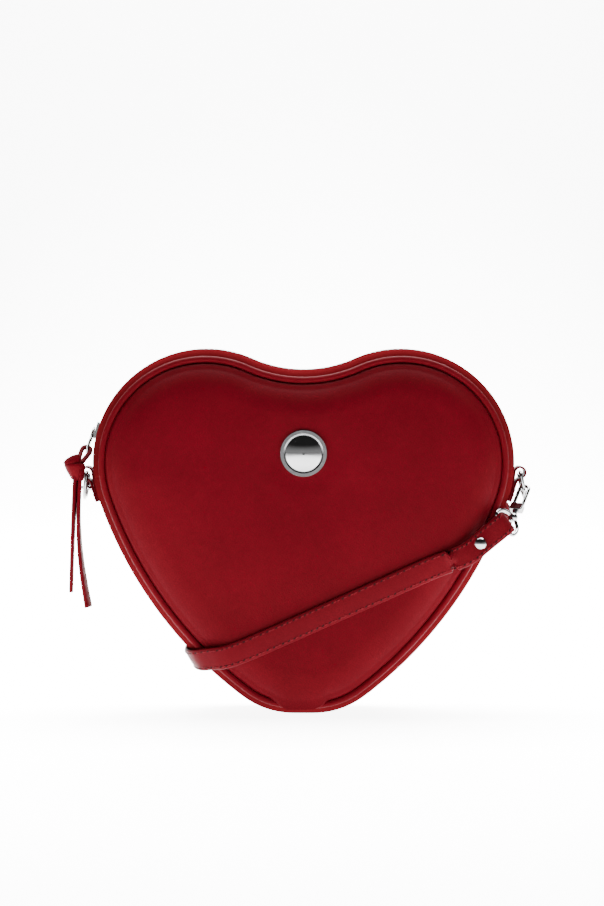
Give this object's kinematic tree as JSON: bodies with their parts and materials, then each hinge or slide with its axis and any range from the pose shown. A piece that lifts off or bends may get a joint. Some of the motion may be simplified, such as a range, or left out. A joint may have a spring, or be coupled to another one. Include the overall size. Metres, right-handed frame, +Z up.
{
  "type": "heart shaped purse",
  "caption": "Heart shaped red leather crossbody bag with piped seams, a zip over the lobes, ring tabs with snap hooks, a knotted zip pull and a long strap wrapped round it.",
  "frame": {"origin": "centre of the flat foot on which the bag stands", "axes": "+Z up, +X to the viewer's right across the heart's front, +Y from front to back"},
  "size_m": [0.2428, 0.0799, 0.1912],
  "materials": {
    "panel_leather": "smooth satin red leather",
    "trim_leather": "smooth satin red leather",
    "strap_leather": "smooth red strap leather, stitched edges",
    "zip_cloth": "woven red zip tape",
    "lining_cloth": "woven dark lining",
    "polished_metal": "polished silver plate"
  },
  "bodies": {
    "bag": {"front_panel": "panel_leather", "back_panel": "panel_leather", "front_piping": "trim_leather", "back_piping": "trim_leather", "bottom_gusset": "trim_leather", "zip_gusset_front": "trim_leather", "zip_gusset_back": "trim_leather", "left_ring_tab": "trim_leather", "right_ring_tab": "trim_leather", "strap": "strap_leather", "zip_tape_front": "zip_cloth", "zip_tape_back": "zip_cloth", "lining_front": "lining_cloth", "lining_back": "lining_cloth", "lining_base": "lining_cloth", "lining_zip_front": "lining_cloth", "lining_zip_back": "lining_cloth", "zip_teeth_front": "polished_metal", "zip_teeth_back": "polished_metal", "zip_stop_left": "polished_metal", "zip_stop_right": "polished_metal", "front_ornament": "polished_metal", "ornament_washer": "polished_metal"},
    "zip_slider": {"zip_slider": "polished_metal"},
    "zip_puller": {"zip_puller": "polished_metal"},
    "leather_pull": {"leather_pull": "trim_leather"},
    "right_d_ring": {"right_d_ring": "polished_metal"},
    "right_strap_ring": {"right_strap_ring": "polished_metal", "right_swivel_stud": "polished_metal", "right_rivet": "polished_metal"},
    "right_hook": {"right_hook_frame": "polished_metal", "right_gate_pin": "polished_metal"},
    "right_gate": {"right_hook_gate": "polished_metal"},
    "left_d_ring": {"left_d_ring": "polished_metal"},
    "left_strap_ring": {"left_strap_ring": "polished_metal", "left_swivel_stud": "polished_metal", "left_rivet": "polished_metal"},
    "left_hook": {"left_hook_frame": "polished_metal", "left_gate_pin": "polished_metal"},
    "left_gate": {"left_hook_gate": "polished_metal"}
  },
  "joints": [
    {"name": "zip_travel", "type": "hinge", "parent": "bag", "child": "zip_slider", "pos_m": [-0.051, 0, 0.1315], "axis": [0, 1, 0], "range_deg": [0, 72], "deforming": ["zip_teeth_front", "zip_teeth_back", "zip_tape_front", "zip_tape_back"]},
    {"name": "puller_lift", "type": "hinge", "parent": "zip_slider", "child": "zip_puller", "pos_m": [-0.11055, 0, 0.14858], "axis": [-0.1772, 0.766, -0.6179], "range_deg": [0, 100]},
    {"name": "pull_swing", "type": "hinge", "parent": "zip_puller", "child": "leather_pull", "pos_m": [-0.11321, -0.0081, 0.1393], "axis": [-0.1772, 0.766, -0.6179], "range_deg": [0, 26]},
    {"name": "right_clip_swing", "type": "hinge", "parent": "bag", "child": "right_strap_ring", "pos_m": [0.11391, 0, 0.126], "axis": [0, -1, 0], "range_deg": [0, 25], "deforming": ["strap"]},
    {"name": "right_ring_swing", "type": "hinge", "parent": "bag", "child": "right_d_ring", "pos_m": [0.11391, 0, 0.126], "axis": [0, -1, 0], "range_deg": [0, 25]},
    {"name": "right_swivel", "type": "hinge", "parent": "right_strap_ring", "child": "right_hook", "pos_m": [0.1092, -0.02064, 0.10315], "axis": [-0.3289, -0.6435, -0.6912], "range_deg": [-10, 10]},
    {"name": "right_gate_open", "type": "hinge", "parent": "right_hook", "child": "right_gate", "pos_m": [0.11411, -0.01652, 0.10856], "axis": [-0.2527, -0.6452, 0.721], "range_deg": [0, 16], "stiffness_Nm_per_rad": 0.01, "springref_deg": -11.46},
    {"name": "left_clip_swing", "type": "hinge", "parent": "bag", "child": "left_strap_ring", "pos_m": [-0.11391, 0, 0.126], "axis": [0, 1, 0], "range_deg": [0, 12]},
    {"name": "left_ring_swing", "type": "hinge", "parent": "bag", "child": "left_d_ring", "pos_m": [-0.11391, 0, 0.126], "axis": [0, 1, 0], "range_deg": [0, 12]},
    {"name": "left_swivel", "type": "hinge", "parent": "left_strap_ring", "child": "left_hook", "pos_m": [-0.10974, 0.02752, 0.11758], "axis": [0.2515, 0.9679, 0], "range_deg": [-10, 10]},
    {"name": "left_gate_open", "type": "hinge", "parent": "left_hook", "child": "left_gate", "pos_m": [-0.10933, 0.01915, 0.11762], "axis": [0.0157, -0.0041, -0.9999], "range_deg": [0, 16], "stiffness_Nm_per_rad": 0.01, "springref_deg": -11.46}
  ],
  "couplings": [
    {"joint": "right_ring_swing", "follows": "right_clip_swing", "ratio": 1},
    {"joint": "left_ring_swing", "follows": "left_clip_swing", "ratio": 1}
  ]
}
